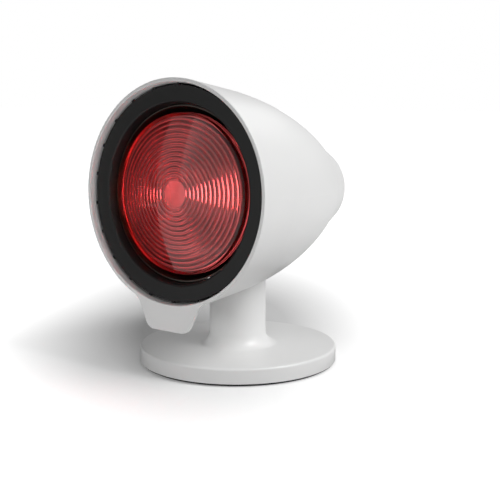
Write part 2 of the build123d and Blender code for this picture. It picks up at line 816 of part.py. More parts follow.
cap_end = cap_start + cap_length
insulator_radius = cap_radius - cap_shoulder - cap_wall - cap_fit
with BuildPart() as bulb_cap:
    with BuildSketch(head_section):
        with BuildLine():
            Polyline(
                (cap_radius - cap_wall, cap_start),
                (cap_radius, cap_start),
                (cap_radius, cap_end),
                (cap_radius - cap_shoulder, cap_end + cap_shoulder_length),
                (insulator_radius + cap_fit, cap_end + cap_shoulder_length - cap_wall),
                (cap_radius - cap_wall, cap_end - cap_wall),
                close=True,
            )
        make_face()
    revolve(axis=head_axis)
finish(bulb_cap, "bulb_cap")

with BuildPart() as bulb_insulator:
    with BuildSketch(head_section):
        with BuildLine():
            Polyline(
                (0, cap_end - cap_wall),
                (insulator_radius, cap_end - cap_wall),
                (insulator_radius, cap_end + cap_shoulder_length),
                (contact_radius + cap_fit, cap_end + insulator_height),
                (0, cap_end + insulator_height),
                close=True,
            )
        make_face()
    revolve(axis=head_axis)
finish(bulb_insulator, "bulb_insulator")

contact_back = cap_end + insulator_height
with BuildPart() as bulb_contact:
    with BuildSketch(head_plane(contact_back)):
        Circle(contact_radius)
    extrude(amount=contact_height)
    front_ring = bulb_contact.edges().sort_by(Axis(rim_centre, head_back))[-1]
    chamfer(front_ring, contact_height / 2)
finish(bulb_contact, "bulb_contact")

# ------------------------------------------------------------------ heat shield and its carrier
# the shield follows the bulb's dish, narrows to a throat and turns out into a flange
flange_face = carrier_face - rest_gap
with BuildPart() as heat_shield:
    with BuildSketch(head_section):
        with BuildLine():
            shield_in = dish_line(shield_front, shield_dish_end, shield_gap)
            shield_out = dish_line(shield_front, shield_dish_end, shield_gap + shield_wall)
            Line(shield_in @ 0, shield_out @ 0)
            throat = (shield_in @ 1).X
            Polyline(
                shield_in @ 1,
                (throat, flange_face),
                (shield_flange_radius, flange_face),
                (shield_flange_radius, flange_face - shield_wall),
                (throat + shield_wall, flange_face - shield_wall),
                shield_out @ 1,
            )
        make_face()
    revolve(axis=head_axis)
    # slots that let the air rise past the bulb
    with BuildSketch(head_plane(shield_slot_start)):
        with PolarLocations(dish_radius(shield_slot_start), shield_slot_count):
            Rectangle(2 * shield_slot_length, shield_slot_width)
    extrude(amount=shield_slot_length, mode=Mode.SUBTRACT)
    with BuildSketch(head_plane(flange_face - shield_wall)):
        with PolarLocations(rivet_circle, 3, start_angle=-90):
            Circle(rivet_radius + screw_gap)
    extrude(amount=shield_wall, mode=Mode.SUBTRACT)
finish(heat_shield, "heat_shield")

# a steel plate with three arms, screwed to the bosses in the shell
with BuildPart() as carrier_plate:
    with BuildSketch(head_plane(carrier_face)):
        Circle(carrier_radius)
        with PolarLocations(carrier_screw_circle / 2, 3, start_angle=-90):
            Rectangle(carrier_screw_circle, carrier_arm_width)
        with PolarLocations(carrier_screw_circle, 3, start_angle=-90):
            Circle(carrier_arm_width / 2)
            Circle(small_screw_radius + rest_gap, mode=Mode.SUBTRACT)
        with PolarLocations(rivet_circle, 3, start_angle=-90):
            Circle(rivet_radius + screw_gap, mode=Mode.SUBTRACT)
        with PolarLocations(holder_screw_circle, 2):
            Circle(holder_screw_radius + screw_gap, mode=Mode.SUBTRACT)
        Circle(carrier_hole, mode=Mode.SUBTRACT)
    extrude(amount=carrier_thickness)
finish(carrier_plate, "carrier_plate")


with BuildPart() as shield_rivets:
    rivet_front = flange_face - shield_wall - rest_gap
    rivet_rear = carrier_face + carrier_thickness + rest_gap
    with BuildSketch(head_plane(rivet_front - rivet_head_height)):
        with PolarLocations(rivet_circle, 3, start_angle=-90):
            Circle(rivet_head_radius)
    extrude(amount=rivet_head_height)
    with BuildSketch(head_plane(rivet_rear)):
        with PolarLocations(rivet_circle, 3, start_angle=-90):
            Circle(rivet_head_radius)
    extrude(amount=rivet_head_height)
    chamfer(rings(shield_rivets, rivet_head_radius), rivet_head_height / 3)
    with BuildSketch(head_plane(rivet_front)):
        with PolarLocations(rivet_circle, 3, start_angle=-90):
            Circle(rivet_radius)
    extrude(amount=rivet_rear - rivet_front)
finish(shield_rivets, "shield_rivets")

carrier_screws = pan_screws(
    carrier_screw_circle, 3, -90, carrier_face - rest_gap, 1, small_screw_radius, small_screw_length
)
finish(carrier_screws, "carrier_screws")

# ------------------------------------------------------------------ lampholder
sleeve_radius = cap_radius + sleeve_gap + sleeve_wall
holder_bore = sleeve_radius + holder_bore_gap
holder_rear = holder_front + holder_length
floor_face = holder_rear - holder_floor
ear_face = carrier_face + carrier_thickness + rest_gap
lead_hole_back = floor_face + holder_floor / 2

# the porcelain body stands in the plate's hole and is screwed to it by two ears
with BuildPart() as lampholder_body:
    with BuildSketch(head_section):
        with BuildLine():
            Polyline(
                (holder_bore, holder_front),
                (holder_radius, holder_front),
                (holder_radius, holder_rear),
                (0, holder_rear),
                (0, floor_face),
                (holder_chamber, floor_face),
                (holder_chamber, holder_bore_end),
                (holder_bore, holder_bore_end),
                close=True,
            )
        make_face()
    revolve(axis=head_axis)
    fillet(rings(lampholder_body, holder_radius).group_by(head_axis)[-1], holder_round)
    with BuildSketch(head_plane(ear_face)):
        SlotOverall(2 * holder_ear_reach, holder_ear_width)
        Circle((holder_radius + holder_bore) / 2, mode=Mode.SUBTRACT)
        with PolarLocations(holder_screw_circle, 2):
            Circle(holder_screw_radius + screw_gap, mode=Mode.SUBTRACT)
    extrude(amount=holder_ear_thickness)
    # the hole that the lead comes in by, from below
    with BuildSketch(Plane(in_head(lead_hole_back, 0), x_dir=(1, 0, 0), z_dir=-head_up)):
        Circle(lead_radius + rest_gap)
    extrude(amount=holder_radius + 1, mode=Mode.SUBTRACT)
finish(lampholder_body, "lampholder_body")

# the brass screw sleeve that takes the bulb's cap
with BuildPart() as lampholder_sleeve:
    with BuildSketch(head_plane(holder_front + 1)):
        Circle(sleeve_radius)
        Circle(sleeve_radius - sleeve_wall, mode=Mode.SUBTRACT)
    extrude(amount=holder_bore_end - holder_front - 1 - rest_gap)
finish(lampholder_sleeve, "lampholder_sleeve")

# a bent bronze strip on the chamber's floor, sprung against the bulb's contact
with BuildPart() as lampholder_contact:
    crown_back = contact_back + contact_height + tongue_gap
    foot_back = floor_face - rest_gap
    with BuildSketch(head_section):
        with BuildLine():
            front_arch = ThreePointArc(
                (-tongue_half_span, foot_back - tongue_thickness),
                (0, crown_back),
                (tongue_half_span, foot_back - tongue_thickness),
            )
            Polyline(
                front_arch @ 1,
                (tongue_half_span + tongue_foot, foot_back - tongue_thickness),
                (tongue_half_span + tongue_foot, foot_back),
                (tongue_half_span, foot_back),
            )
            rear_arch = ThreePointArc(
                (tongue_half_span, foot_back),
                (0, crown_back + tongue_thickness),
                (-tongue_half_span, foot_back),
            )
            Polyline(
                rear_arch @ 1,
                (-tongue_half_span - tongue_foot, foot_back),
                (-tongue_half_span - tongue_foot, foot_back - tongue_thickness),
                front_arch @ 0,
            )
        make_face()
    extrude(amount=tongue_width / 2, both=True)
finish(lampholder_contact, "lampholder_contact")

lampholder_screws = pan_screws(
    holder_screw_circle,
    2,
    0,
    ear_face + holder_ear_thickness + rest_gap,
    -1,
    holder_screw_radius,
    holder_ear_thickness + carrier_thickness + 2,
)
finish(lampholder_screws, "lampholder_screws")

# the lead from the hinge to the lampholder, below the carrier plate
with BuildPart() as head_lead:
    with BuildLine():
        head_lead_path = FilletPolyline(
            in_head(head_lead_start, head_lead_start_drop),
            in_head(head_lead_knee, head_lead_drop),
            in_head(lead_hole_back, head_lead_drop),
            in_head(lead_hole_back, holder_radius - head_lead_entry),
            radius=head_lead_bend,
        )
    with BuildSketch(Plane(head_lead_path @ 0, z_dir=head_lead_path % 0)):
        Circle(lead_radius)
    sweep()
finish(head_lead, "head_lead")

# ------------------------------------------------------------------ rear cap
cap_front = shell_length + cap_vent_gap
cap_rear = cap_front + rear_cap_length
post_front = shell_length + rest_gap

# a deep cap on three posts, which stand it off the shell so that air leaves all round
with BuildPart() as rear_cap:
    with BuildSketch(head_section) as cap_section:
        with BuildLine():
            crown = TangentArc(
                (0, cap_rear + rear_cap_crown), (rear_cap_rear_radius, cap_rear), tangent=(1, 0)
            )
            Polyline(crown @ 1, (rear_cap_front_radius, cap_front), (0, cap_front), crown @ 0)
        make_face()
        fillet(cap_section.vertices().sort_by(Axis.Y)[-2], rear_cap_round)
    revolve(axis=head_axis)
    cap_mouth = rear_cap.faces().sort_by(head_axis)[0]
    offset(amount=-rear_cap_wall, openings=cap_mouth)
    with BuildSketch(head_plane(post_front)):
        with PolarLocations(rear_cap_post_circle, 3, start_angle=-90):
            Circle(rear_cap_post_radius)
    extrude(until=Until.NEXT)
    with BuildSketch(head_plane(post_front)):
        with PolarLocations(rear_cap_post_circle, 3, start_angle=-90):
            Circle(small_screw_radius + screw_gap)
    extrude(amount=small_screw_length, mode=Mode.SUBTRACT)
finish(rear_cap, "rear_cap")

cap_screws = pan_screws(
    rear_cap_post_circle, 3, -90, web_face - rest_gap, 1, small_screw_radius, small_screw_length
)
finish(cap_screws, "cap_screws")
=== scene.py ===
import math

import bpy
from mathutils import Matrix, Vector


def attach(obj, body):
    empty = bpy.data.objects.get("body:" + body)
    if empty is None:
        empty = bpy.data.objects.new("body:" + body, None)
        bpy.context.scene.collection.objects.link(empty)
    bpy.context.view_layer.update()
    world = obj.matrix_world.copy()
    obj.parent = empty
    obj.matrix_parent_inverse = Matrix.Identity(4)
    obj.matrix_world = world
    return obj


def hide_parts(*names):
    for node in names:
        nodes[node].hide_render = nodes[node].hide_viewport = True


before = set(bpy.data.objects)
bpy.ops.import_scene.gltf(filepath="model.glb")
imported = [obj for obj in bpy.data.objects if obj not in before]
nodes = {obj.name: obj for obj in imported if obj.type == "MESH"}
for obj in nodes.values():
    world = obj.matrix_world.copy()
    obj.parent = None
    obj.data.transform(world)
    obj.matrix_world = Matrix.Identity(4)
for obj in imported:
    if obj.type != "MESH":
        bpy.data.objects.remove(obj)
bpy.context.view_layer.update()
mm = 0.001

# ---------------------------------------------------------------- studio: camera
# The camera stands to the front right of the lamp, a little above it, and looks at the
# middle of the head and the base together.
camera_turn = math.radians(36.129)
camera_rise = math.radians(9.222)
camera_distance = 807.0 * mm
aim_side = 9.951 * mm
aim_height = 90.428 * mm

scene = bpy.context.scene
scene.view_settings.view_transform = "Standard"


def compass(turn, rise):
    """The direction at a turn to the lamp's left of its front, and a rise, in degrees."""
    turn = math.radians(turn)
    rise = math.radians(rise)
    return Vector((
        math.sin(turn) * math.cos(rise),
        -math.cos(turn) * math.cos(rise),
        math.sin(rise),
    ))


aim = Vector((aim_side * math.cos(camera_turn), aim_side * math.sin(camera_turn), aim_height))
camera_side = compass(math.degrees(camera_turn), math.degrees(camera_rise))
bpy.ops.object.camera_add(location=aim + camera_side * camera_distance)
camera = bpy.context.object
camera.name = "studio_camera"
camera.rotation_mode = "QUATERNION"
camera.rotation_quaternion = camera_side.to_track_quat("Z", "Y")
camera.data.lens = 72.0
camera.data.sensor_width = 36.0
camera.data.clip_end = 50.0
scene.camera = camera

# ---------------------------------------------------------------- studio: surround and floor
# A white surround and a white paper floor. Both look white where nothing shades them, and the floor
# keeps the lamp's shadow. Its glow is painted dim in an oval round the base and rises outside it:
# a painted shadow that darkens the paper near the base and fades the real shadow out at the oval.
surround_light = 0.04
surround_in_gloss = 0.5
surround_in_glass = 0.38
floor_size = 16.0
paper_tone_lit = 0.60
paper_tone_seen = 0.75
floor_light = 0.03
floor_lift = 1.1
shadow_across = 160.0 * mm
shadow_along = 340.0 * mm
shadow_middle = (-22.0 * mm, 120.0 * mm)
shadow_fade_start = 0.42
shadow_fade_end = 1.45
pure_white = (1.0, 1.0, 1.0, 1.0)


def number(tree, operation, first, second):
    """A maths node on two values or sockets."""
    node = tree.nodes.new("ShaderNodeMath")
    node.operation = operation
    for socket, value in zip(node.inputs, (first, second)):
        if isinstance(value, bpy.types.NodeSocket):
            tree.links.new(value, socket)
        else:
            socket.default_value = value
    return node.outputs[0]


def span(tree, value, low, high, start=0.0, end=1.0):
    """Maps a value between start and end to a number between low and high."""
    node = tree.nodes.new("ShaderNodeMapRange")
    node.inputs["From Min"].default_value = start
    node.inputs["From Max"].default_value = end
    node.inputs["To Min"].default_value = low
    node.inputs["To Max"].default_value = high
    tree.links.new(value, node.inputs["Value"])
    return node.outputs[0]


def new_material(name, **constants):
    """A material whose shader has these plain values."""
    material = bpy.data.materials.new(name)
    material.use_nodes = True
    shader = material.node_tree.nodes["Principled BSDF"]
    for socket, value in constants.items():
        shader.inputs[socket.replace("_", " ")].default_value = value
    return material, material.node_tree, shader


def seen_white(tree, path):
    """How bright the white looks to each kind of ray: full to the camera, less in gloss and glass."""
    gloss = number(tree, "MULTIPLY", path.outputs["Is Glossy Ray"], surround_in_gloss)
    glass = number(tree, "MULTIPLY", path.outputs["Is Transmission Ray"], surround_in_glass)
    bounced = number(tree, "MAXIMUM", gloss, glass)
    return number(tree, "MAXIMUM", path.outputs["Is Camera Ray"], bounced)


world = bpy.data.worlds.new("studio_surround")
scene.world = world
world.use_nodes = True
tree = world.node_tree
surround = tree.nodes["Background"]
surround.inputs["Color"].default_value = pure_white
seen = seen_white(tree, tree.nodes.new("ShaderNodeLightPath"))
tree.links.new(number(tree, "MAXIMUM", seen, surround_light), surround.inputs["Strength"])

bpy.ops.mesh.primitive_plane_add(size=floor_size, location=(0, 0, 0))
floor = bpy.context.object
floor.name = "studio_floor"
paper, tree, shader = new_material(
    "floor_paper", Roughness=0.9, Specular_IOR_Level=0.0, Emission_Color=pure_white
)
path = tree.nodes.new("ShaderNodeLightPath")
white = tree.nodes.new("ShaderNodeCombineColor")
tone = span(tree, path.outputs["Is Camera Ray"], paper_tone_lit, paper_tone_seen)
for channel in ("Red", "Green", "Blue"):
    tree.links.new(tone, white.inputs[channel])
tree.links.new(white.outputs[0], shader.inputs["Base Color"])
where = tree.nodes.new("ShaderNodeTexCoord")
oval = tree.nodes.new("ShaderNodeMapping")
oval.vector_type = "TEXTURE"
oval.inputs["Location"].default_value = (
    shadow_middle[0] * math.cos(camera_turn) - shadow_middle[1] * math.sin(camera_turn),
    shadow_middle[0] * math.sin(camera_turn) + shadow_middle[1] * math.cos(camera_turn),
    0,
)
oval.inputs["Rotation"].default_value = (0, 0, camera_turn)
oval.inputs["Scale"].default_value = (shadow_across, shadow_along, 1)
tree.links.new(where.outputs["Object"], oval.inputs["Vector"])
away = tree.nodes.new("ShaderNodeVectorMath")
away.operation = "LENGTH"
tree.links.new(oval.outputs[0], away.inputs[0])
# painted shadow: the floor's glow is dim near the base and rises to white outside the oval
floor_most = floor_light + floor_lift
painted_shadow_fade = span(
    tree, away.outputs["Value"], floor_light, floor_most, shadow_fade_start, shadow_fade_end
)
glow = number(tree, "MULTIPLY", painted_shadow_fade, seen_white(tree, path))
tree.links.new(glow, shader.inputs["Emission Strength"])
floor.data.materials.append(paper)

# ---------------------------------------------------------------- studio: lights
# A large soft key light, weak lights at the sides, behind and in front, and an upright soft box
# that the glass mirrors. None of these shows through the glass. One near light is for the glass
# alone and its bright arcs. A black flag to the left darkens what gloss and glass mirror there.
stage_middle = Vector((0, 0, 110.0 * mm))
glass_middle = Vector((0, -85.0 * mm, 142.0 * mm))
to_floor = Vector((1, 1, 0))


def soft_light(name, middle, turn, rise, distance, width, height, power):
    """A rectangular soft light at a turn and rise from a point, facing it."""
    side = compass(turn, rise)
    bpy.ops.object.light_add(type="AREA", location=middle + side * distance)
    light = bpy.context.object
    light.name = name
    light.data.shape = "RECTANGLE"
    light.data.size = width
    light.data.size_y = height
    light.data.energy = power
    light.rotation_mode = "QUATERNION"
    light.rotation_quaternion = side.to_track_quat("Z", "Y")
    return light


# turn and rise in degrees, distance, width and height in metres, power in watts
studio_lights = {
    "key_light": (100, 43, 1.5, 0.8, 0.9, 18.0),
    "side_light": (100, 6, 1.5, 0.6, 0.5, 1.9),
    "rear_light": (180, 40, 1.5, 0.8, 0.8, 2.4),
    "left_light": (-100, 14, 1.5, 0.8, 0.6, 1.7),
    "front_light": (-20, 11, 1.5, 0.8, 0.55, 3.4),
    "low_front_light": (-5, -8, 0.38, 0.4, 0.06, 0.24),
}
strip_values = (66, 1, 0.5, 0.22, 0.50, 40.0)
for name, values in studio_lights.items():
    light = soft_light(name, stage_middle, *values)
    light.visible_transmission = False
    light.visible_glossy = name not in ("front_light", "low_front_light")
strip = soft_light("strip_light", glass_middle, *strip_values)
strip.visible_diffuse = False
strip.visible_glossy = False
glass_only = bpy.data.collections.new("glass_only")
strip.light_linking.receiver_collection = glass_only


def upright_card(name, turn, near, width, height, material):
    """An upright card on the floor, at a turn and a distance from the bulb's glass."""
    side = compass(turn, 0)
    bpy.ops.mesh.primitive_plane_add(size=1.0)
    card = bpy.context.object
    card.name = name
    card.scale = (width, height, 1)
    card.rotation_mode = "QUATERNION"
    card.rotation_quaternion = side.to_track_quat("Z", "Y")
    card.location = (glass_middle + side * near) * to_floor + Vector((0, 0, height / 2))
    bpy.ops.object.transform_apply(location=True, rotation=True, scale=True)
    card.data.materials.append(material)
    card.visible_camera = False
    card.visible_shadow = False
    return card


soft_box_turn = -12.0
soft_box_distance = 1.3
soft_box_width = 1.22
soft_box_height = 1.6
soft_box_bright = 1.3
soft_box_dim = 0.45
# the box fades across its width, between these two distances in metres
soft_box_bright_end = -0.66
soft_box_dim_start = 0.3
card_white, tree, shader = new_material(
    "soft_box_cloth", Base_Color=(0, 0, 0, 1), Specular_IOR_Level=0.0, Emission_Color=pure_white
)
where = tree.nodes.new("ShaderNodeTexCoord")
across = tree.nodes.new("ShaderNodeVectorMath")
across.operation = "DOT_PRODUCT"
across.inputs[1].default_value = compass(soft_box_turn + 90, 0)
tree.links.new(where.outputs["Object"], across.inputs[0])
glow = span(
    tree, across.outputs["Value"],
    soft_box_bright, soft_box_dim, soft_box_bright_end, soft_box_dim_start,
)
tree.links.new(glow, shader.inputs["Emission Strength"])
soft_box = upright_card(
    "front_soft_box", soft_box_turn, soft_box_distance, soft_box_width, soft_box_height, card_white
)
soft_box.visible_diffuse = False
soft_box.visible_transmission = False

flag_turn = -92
flag_distance = 1.1
flag_width = 2.0
flag_height = 1.6
flag_foot_turn = 40
flag_foot_shift = 0.55
flag_foot_size = (1.4, 1.1, 1)
flag_foot_height = 0.3 * mm
card_black = new_material(
    "flag_cloth", Base_Color=(0.004, 0.004, 0.004, 1), Specular_IOR_Level=0.0
)[0]
flag = upright_card("left_flag", flag_turn, flag_distance, flag_width, flag_height, card_black)
flag.visible_diffuse = False
bpy.ops.mesh.primitive_plane_add(size=1.0)
carpet = bpy.context.object
carpet.name = "left_flag_foot"
carpet.scale = flag_foot_size
carpet.rotation_euler = (0, 0, math.radians(flag_foot_turn))
carpet.location = (
    glass_middle * to_floor
    + compass(flag_foot_turn - 90, 0) * flag_foot_shift
    + compass(flag_foot_turn - 180, 0) * flag_foot_shift
)
carpet.location.z = flag_foot_height
bpy.ops.object.transform_apply(location=True, rotation=True, scale=True)
carpet.data.materials.append(card_black)
carpet.visible_camera = False
carpet.visible_shadow = False
carpet.visible_diffuse = False

# ---------------------------------------------------------------- foot pad
# A black non-slip pad of soft rubber, glued under the base plate. It is moulded with rings
# of fine grooves, which show when the lamp is lifted.
pad_radius = 77.0 * mm
pad_edge = 0.25 * mm
pad_top = 1.0 * mm
groove_depth = 0.35 * mm
groove_half_top = 0.8 * mm
groove_half_floor = 0.4 * mm
groove_pitch = 4.0 * mm
groove_start = 16.0 * mm
groove_count = 14
pad_facets = 128

upwards = Vector((0, 0, 1))
leftwards = Vector((1, 0, 0))
table_middle = Vector((0, 0, 0))


def rounded(corners, steps=6):
    """A closed outline from (x, y, radius) corners, each rounded by its radius."""
    outline = []
    for index, (x, y, radius) in enumerate(corners):
        if radius == 0:
            outline.append((x, y))
            continue
        here = Vector((x, y))
        before = (Vector(corners[index - 1][:2]) - here).normalized()
        after = (Vector(corners[(index + 1) % len(corners)][:2]) - here).normalized()
        half = before.angle(after) / 2
        middle = here + (before + after).normalized() * radius / math.sin(half)
        first = here + before * radius / math.tan(half) - middle
        last = here + after * radius / math.tan(half) - middle
        turn = math.atan2(first.x * last.y - first.y * last.x, first.dot(last))
        for step in range(steps + 1):
            angle = turn * step / steps
            outline.append((
                middle.x + first.x * math.cos(angle) - first.y * math.sin(angle),
                middle.y + first.x * math.sin(angle) + first.y * math.cos(angle),
            ))
    return outline


def turned(name, outline, start, along, across, steps):
    """Spins a closed outline of (radius, distance) points round an axis."""
    bpy.ops.object.select_all(action="DESELECT")
    bpy.ops.mesh.primitive_circle_add(vertices=len(outline), radius=1.0, fill_type="NOTHING")
    piece = bpy.context.object
    piece.name = name
    for vertex, (radius, distance) in zip(piece.data.vertices, outline):
        vertex.co = start + across * radius + along * distance
    bpy.ops.object.mode_set(mode="EDIT")
    bpy.ops.mesh.select_all(action="SELECT")
    bpy.ops.mesh.spin(steps=steps, angle=2 * math.pi, center=start, axis=along)
    bpy.ops.mesh.select_all(action="SELECT")
    bpy.ops.mesh.remove_doubles(threshold=0.002 * mm)
    bpy.ops.mesh.dissolve_degenerate(threshold=0.001 * mm)
    bpy.ops.mesh.delete_loose()
    bpy.ops.mesh.select_all(action="SELECT")
    bpy.ops.mesh.normals_make_consistent(inside=False)
    bpy.ops.object.mode_set(mode="OBJECT")
    return piece


def smooth(piece, angle=32.0):
    """Shades a piece smooth, apart from its sharp edges."""
    bpy.ops.object.select_all(action="DESELECT")
    piece.select_set(True)
    bpy.context.view_layer.objects.active = piece
    bpy.ops.object.shade_smooth_by_angle(angle=math.radians(angle))


def effect_group(name, inputs, outputs):
    """An empty node group with named number inputs and outputs, and its end nodes."""
    group = bpy.data.node_groups.new(name, "ShaderNodeTree")
    for label, value in inputs:
        socket = group.interface.new_socket(label, in_out="INPUT", socket_type="NodeSocketFloat")
        socket.default_value = value
    for label in outputs:
        group.interface.new_socket(label, in_out="OUTPUT", socket_type="NodeSocketFloat")
    return group, group.nodes.new("NodeGroupInput"), group.nodes.new("NodeGroupOutput")


def placed_effect(tree, group, **values):
    """A group's node in a material, with its inputs set."""
    node = tree.nodes.new("ShaderNodeGroup")
    node.node_tree = group
    for label, value in values.items():
        node.inputs[label].default_value = value
    return node


def two_tone(tree, mask, dark, light):
    """A colour between two, by a mask."""
    mix = tree.nodes.new("ShaderNodeMix")
    mix.data_type = "RGBA"
    mix.inputs["A"].default_value = (*dark, 1)
    mix.inputs["B"].default_value = (*light, 1)
    tree.links.new(mask, mix.inputs["Factor"])
    return mix.outputs["Result"]


def bumped(tree, shader, height, depth):
    """Gives a shader a bump of this depth in metres."""
    bump = tree.nodes.new("ShaderNodeBump")
    bump.inputs["Strength"].default_value = 1.0
    bump.inputs["Distance"].default_value = depth
    tree.links.new(height, bump.inputs["Height"])
    tree.links.new(bump.outputs["Normal"], shader.inputs["Normal"])


# a moulded surface has fine pits, and changes slowly where the melt flowed
grain, grain_in, grain_out = effect_group(
    "moulded_grain", [("Pits", 1400.0), ("Flow", 22.0)], ["Pits", "Flow"]
)
where = grain.nodes.new("ShaderNodeTexCoord")
for label, detail, roughness in (("Pits", 3.0, 0.6), ("Flow", 2.0, 0.5)):
    texture = grain.nodes.new("ShaderNodeTexNoise")
    texture.inputs["Detail"].default_value = detail
    texture.inputs["Roughness"].default_value = roughness
    grain.links.new(where.outputs["Object"], texture.inputs["Vector"])
    grain.links.new(grain_in.outputs[label], texture.inputs["Scale"])
    grain.links.new(texture.outputs["Fac"], grain_out.inputs[label])


def moulded(name, dark, light, roughness, pits, depth, **constants):
    """A moulded material: two close tones, a range of roughness, and pits of a depth."""
    material, tree, shader = new_material(name, **constants)
    effect = placed_effect(tree, grain, Pits=pits)
    tone = two_tone(tree, effect.outputs["Flow"], dark, light)
    tree.links.new(tone, shader.inputs["Base Color"])
    tree.links.new(span(tree, effect.outputs["Pits"], *roughness), shader.inputs["Roughness"])
    bumped(tree, shader, effect.outputs["Pits"], depth)
    return material


pad_corners = [(0, pad_top, 0), (0, 0, 0)]
for ring in range(groove_count):
    groove = groove_start + ring * groove_pitch
    pad_corners += [
        (groove - groove_half_top, 0, 0),
        (groove - groove_half_floor, groove_depth, 0),
        (groove + groove_half_floor, groove_depth, 0),
        (groove + groove_half_top, 0, 0),
    ]
pad_corners += [(pad_radius - pad_edge, 0, 0), (pad_radius, pad_edge, 0), (pad_radius, pad_top, 0)]
pad_outline = rounded(pad_corners)
foot_pad = turned("foot_pad_rubber", pad_outline, table_middle, upwards, leftwards, pad_facets)
smooth(foot_pad)
pad_rubber = moulded(
    "pad_rubber", (0.010, 0.010, 0.010), (0.022, 0.021, 0.020), (0.7, 0.9), 900.0, 0.03 * mm
)
foot_pad.data.materials.append(pad_rubber)
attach(foot_pad, "stand")
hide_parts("foot_pad")

# ---------------------------------------------------------------- base plate and its screws
# A plate of black filled plastic closes the base from below, and its edge is the dark line
# round the foot. Four countersunk steel screws above the pad hold it.
plate_black = moulded(
    "plate_black", (0.012, 0.012, 0.013), (0.024, 0.024, 0.025), (0.5, 0.68), 1600.0, 0.015 * mm
)

# bare metal has long fine marks from the tool, and duller patches where it has been handled
mark_stretch = (1.0, 0.06, 1.0)
patch_start = 0.3
patch_end = 0.7
marks, marks_in, marks_out = effect_group(
    "metal_marks", [("Marks", 900.0), ("Patches", 60.0)], ["Marks", "Patches"]
)
where = marks.nodes.new("ShaderNodeTexCoord")
squash = marks.nodes.new("ShaderNodeMapping")
squash.inputs["Scale"].default_value = mark_stretch
marks.links.new(where.outputs["Object"], squash.inputs["Vector"])
for label, source, detail in (
    ("Marks", squash.outputs[0], 4.0),
    ("Patches", where.outputs["Object"], 3.0),
):
    texture = marks.nodes.new("ShaderNodeTexNoise")
    texture.inputs["Detail"].default_value = detail
    marks.links.new(source, texture.inputs["Vector"])
    marks.links.new(marks_in.outputs[label], texture.inputs["Scale"])
    marks.links.new(texture.outputs["Fac"], marks_out.inputs[label])


def metal(name, dark, light, roughness, fine, depth):
    """A metal: two close tones in patches, a range of roughness, and fine tool marks."""
    material, tree, shader = new_material(name, Metallic=1.0)
    effect = placed_effect(tree, marks, Marks=fine)
    patches = effect.outputs["Patches"]
    dullness = span(tree, patches, *roughness, patch_start, patch_end)
    tree.links.new(two_tone(tree, patches, dark, light), shader.inputs["Base Color"])
    tree.links.new(dullness, shader.inputs["Roughness"])
    bumped(tree, shader, effect.outputs["Marks"], depth)
    return material


def finish_nodes(material, *names):
    """Gives CAD nodes their material."""
    for name in names:
        nodes[name].data.materials.clear()
        nodes[name].data.materials.append(material)


screw_steel = metal(
    "screw_steel", (0.50, 0.50, 0.49), (0.64, 0.64, 0.62), (0.25, 0.42), 1800.0, 0.01 * mm
)
finish_nodes(plate_black, "base_plate")
finish_nodes(screw_steel, "base_screws")

# ---------------------------------------------------------------- ballast
# A disc of cast iron, painted grey against rust, that keeps the lamp from tipping. It lies on
# the base plate round the terminal block, with a way out to the rear for the cord.
weight_iron = moulded(
    "weight_iron", (0.055, 0.056, 0.058), (0.10, 0.10, 0.105), (0.55, 0.8), 500.0, 0.12 * mm,
    Metallic=0.3,
)
finish_nodes(weight_iron, "ballast")

# ---------------------------------------------------------------- cord bush
# A rubber bush lines the hole for the cord in the rear of the base. A round flange outside the
# wall and an oblong one inside keep it in place.
bush_rubber = moulded(
    "bush_rubber", (0.016, 0.016, 0.016), (0.030, 0.029, 0.028), (0.55, 0.75), 1100.0, 0.02 * mm
)
finish_nodes(bush_rubber, "cord_bush")

# ---------------------------------------------------------------- terminal block and leads
# A two-way block of white polyamide with zinc-plated clamp screws. The leads run in woven
# glass-fibre sleeves, which stand the heat of the head.
block_plastic = moulded(
    "block_plastic", (0.60, 0.59, 0.55), (0.70, 0.69, 0.65), (0.4, 0.55), 1200.0, 0.01 * mm
)
finish_nodes(block_plastic, "terminal_block")
finish_nodes(screw_steel, "terminal_screws")

lead_sheath, tree, shader = new_material("lead_sheath", Roughness=0.75)
where = tree.nodes.new("ShaderNodeTexCoord")
weave_lay = math.radians(38)
strand_scale = 320.0
strand_wobble = 0.6
weave = []
for slope in (1.0, -1.0):
    lay = tree.nodes.new("ShaderNodeMapping")
    lay.inputs["Rotation"].default_value = (weave_lay * slope, weave_lay * slope, 0)
    tree.links.new(where.outputs["Object"], lay.inputs["Vector"])
    strands = tree.nodes.new("ShaderNodeTexWave")
    strands.bands_direction = "Z"
    strands.inputs["Scale"].default_value = strand_scale
    strands.inputs["Distortion"].default_value = strand_wobble
    tree.links.new(lay.outputs[0], strands.inputs["Vector"])
    weave.append(strands.outputs["Fac"])
braid = number(tree, "MAXIMUM", *weave)
tone = two_tone(tree, braid, (0.42, 0.40, 0.35), (0.74, 0.72, 0.66))
tree.links.new(tone, shader.inputs["Base Color"])
bumped(tree, shader, braid, 0.12 * mm)
finish_nodes(lead_sheath, "column_lead", "head_lead")

# ---------------------------------------------------------------- base and column
# The base disc and the column are white ABS. The column is glued over a ring on the base's
# foot, and the joint is filled and polished away, so that the two are one smooth shape. The
# column ends in two lugs with a bore for the tilt bolt.
base_radius = 79.8 * mm
base_wall = 2.5 * mm
base_bottom = 2.0 * mm
base_top = 14.2 * mm
base_edge_round = 2.0 * mm
base_lower_round = 0.4 * mm
column_radius = 22.8 * mm
column_foot_round = 10.0 * mm
column_bore = 18.5 * mm
neck_bore = 10.8 * mm
neck_start = 57.2 * mm
shoulder = 73.2 * mm
column_edge_round = 0.5 * mm
pivot_height = 86.2 * mm
lug_radius = 11.5 * mm
lug_half_width = 20.5 * mm
lug_inset = 0.1 * mm
bolt_bore = 3.05 * mm
bush_hole = 4.1 * mm
bush_height = 7.55 * mm
boss_circle = 62.0 * mm
boss_radius = 4.0 * mm
boss_bottom = 3.5 * mm
pilot_radius = 1.65 * mm
pocket_top = base_top - base_wall
pocket_round = 1.0 * mm
